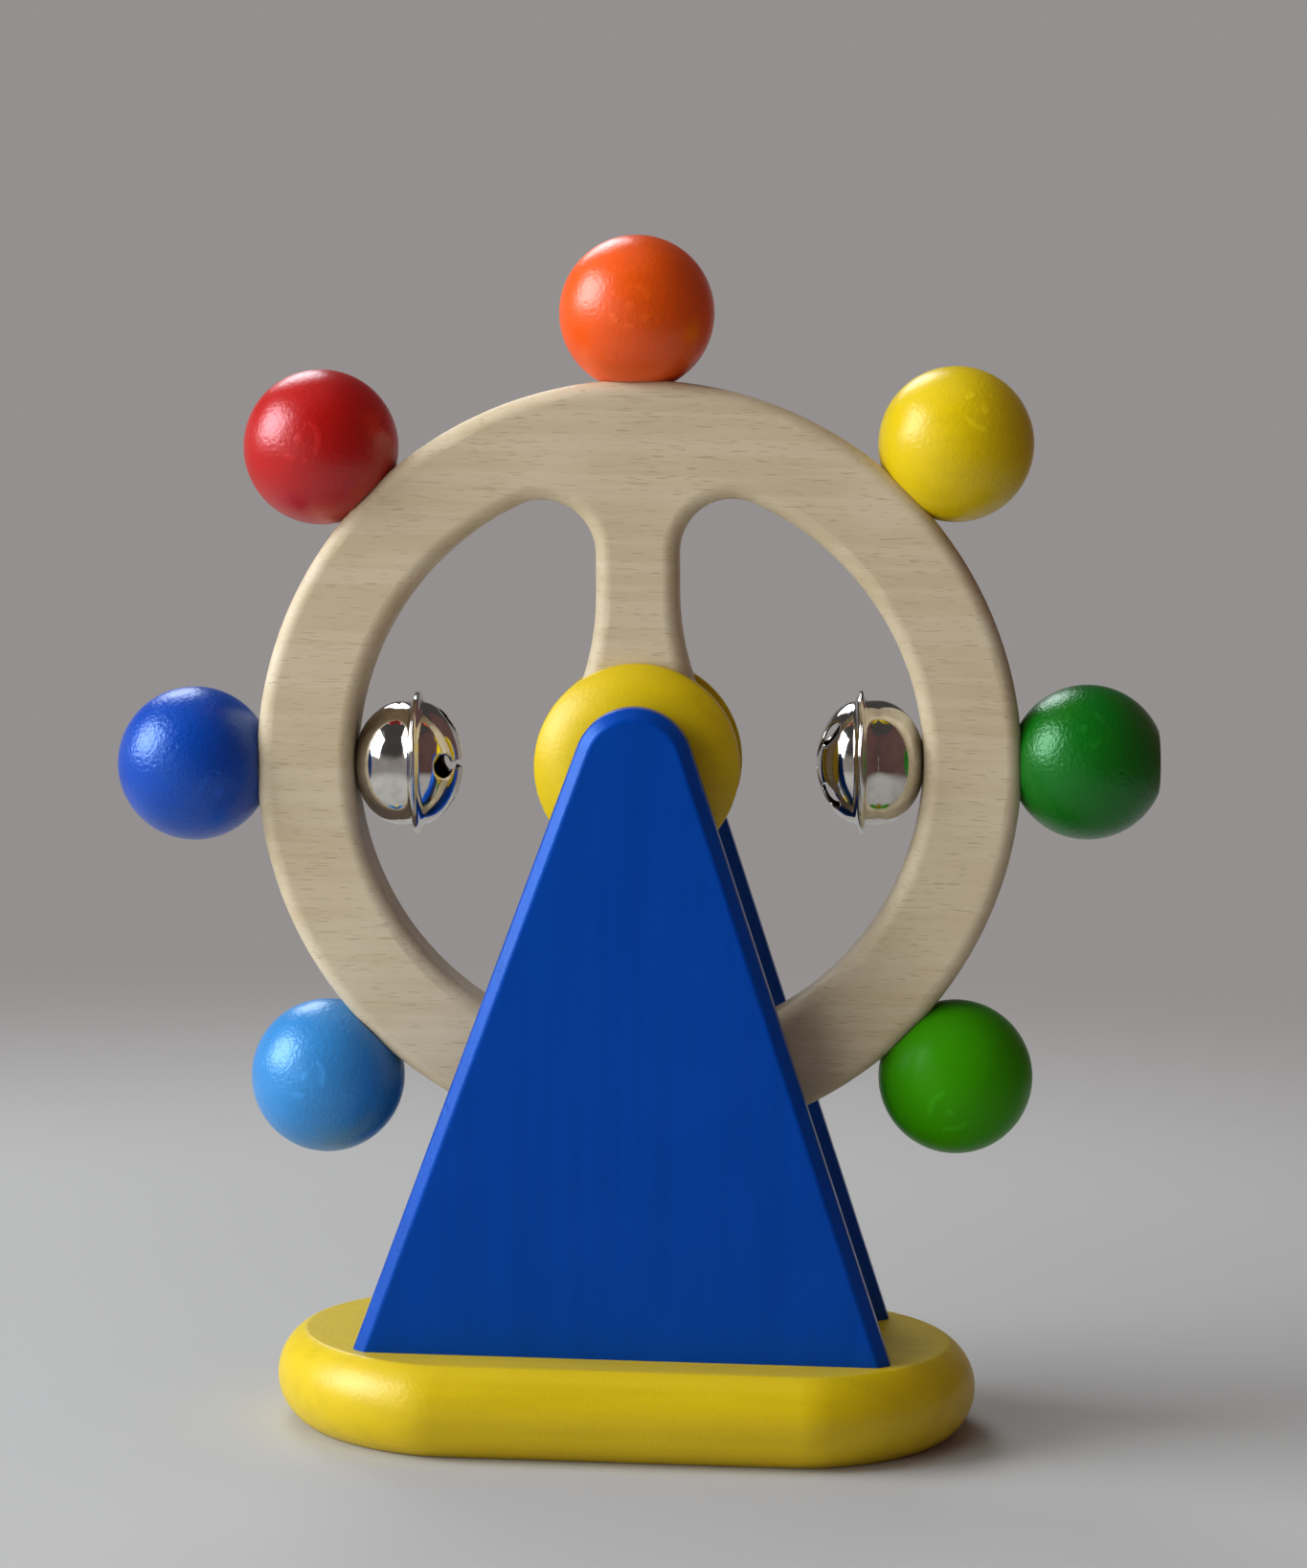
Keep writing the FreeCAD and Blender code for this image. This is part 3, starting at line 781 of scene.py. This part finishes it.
for ball_name, ball_angle, ball_colour, ball_sheen, ball_gloss, ball_peel, pole in BALLS:
    pole_x, pole_z = pole
    lacquer = satin_lacquer(
        ball_name + "_satin_lacquer_on_ball",
        ball_colour,
        (8, 2, 2),
        centre=ball_centre(ball_angle),
        grain_turn=(0, math.radians(ball_angle), 0),
        roughness=0.29,
        gloss=ball_gloss,
        sheen=ball_sheen,
        deepest=0.95,
        peel_depth=ball_peel,
        pole=(pole_x, -math.sqrt(1 - pole_x**2 - pole_z**2), pole_z),
    )
    flat = BALL_OUTER_FLAT if ball_name == "dark_green" else BALL_NO_FLAT
    ball = make_ball(ball_tree, "turned_ball_" + ball_name, ball_angle, flat, lacquer)
    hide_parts("ball_" + ball_name)
    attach(ball, "wheel")

nickel = bright_nickel()
# Inside the cups the nickel is painted dark grey as painted shade.
bell_inside_painted_shade = nickel_painted_shade()
for side_name, side in (("right", 1), ("left", -1)):
    for cup in ("back_cup", "front_cup"):
        cup_node = side_name + "_bell_" + cup
        cup_name = side_name + "_crimped_" + cup
        seed = CRIMP_SEED + side
        shell = crimped_cup(cup_node, cup_name, side, seed, nickel, bell_inside_painted_shade)
        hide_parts(cup_node)
        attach(shell, "wheel")

for node_name, node in nodes.items():
    if node_name in ("front_hub", "rear_hub"):
        dress(node, yellow)
    elif node_name == "wheel_ring":
        dress(node, beech)
    elif "dowel" in node_name or node_name == "axle":
        dress(node, dowel)
    elif node_name.endswith(("stud", "pellet")):
        dress(node, steel)

make_floor()
make_screen()
make_room()
# The window's glare is a lamp of its own, taller than its light, to reach the boards' chamfers.
make_lamp("window_light", (-0.875, -0.17, 0.454), 1.5, (1.0, 0.76), 1.1, "#f2f8ff", on_gloss=False)
make_lamp("window_glare", (-0.89, -0.17, 0.42), 1.5, (1.0, 0.9), 1.3, "#f2f8ff", on_matt=False)
make_lamp("skylight", (-0.3, 0.73, 0.62), 1.5, (0.5, 0.7), 0.28, "#f2f8ff")
make_lamp("soft_front", (-0.68, -0.73, 0.1), 1.6, (1.2, 1.2), 0.54, on_gloss=False)
make_lamp("soft_top", (-0.25, 0.0, 0.97), 1.6, (1.4, 1.4), 0.32, on_gloss=False)
make_camera()

bpy.context.scene.view_settings.view_transform = "Standard"
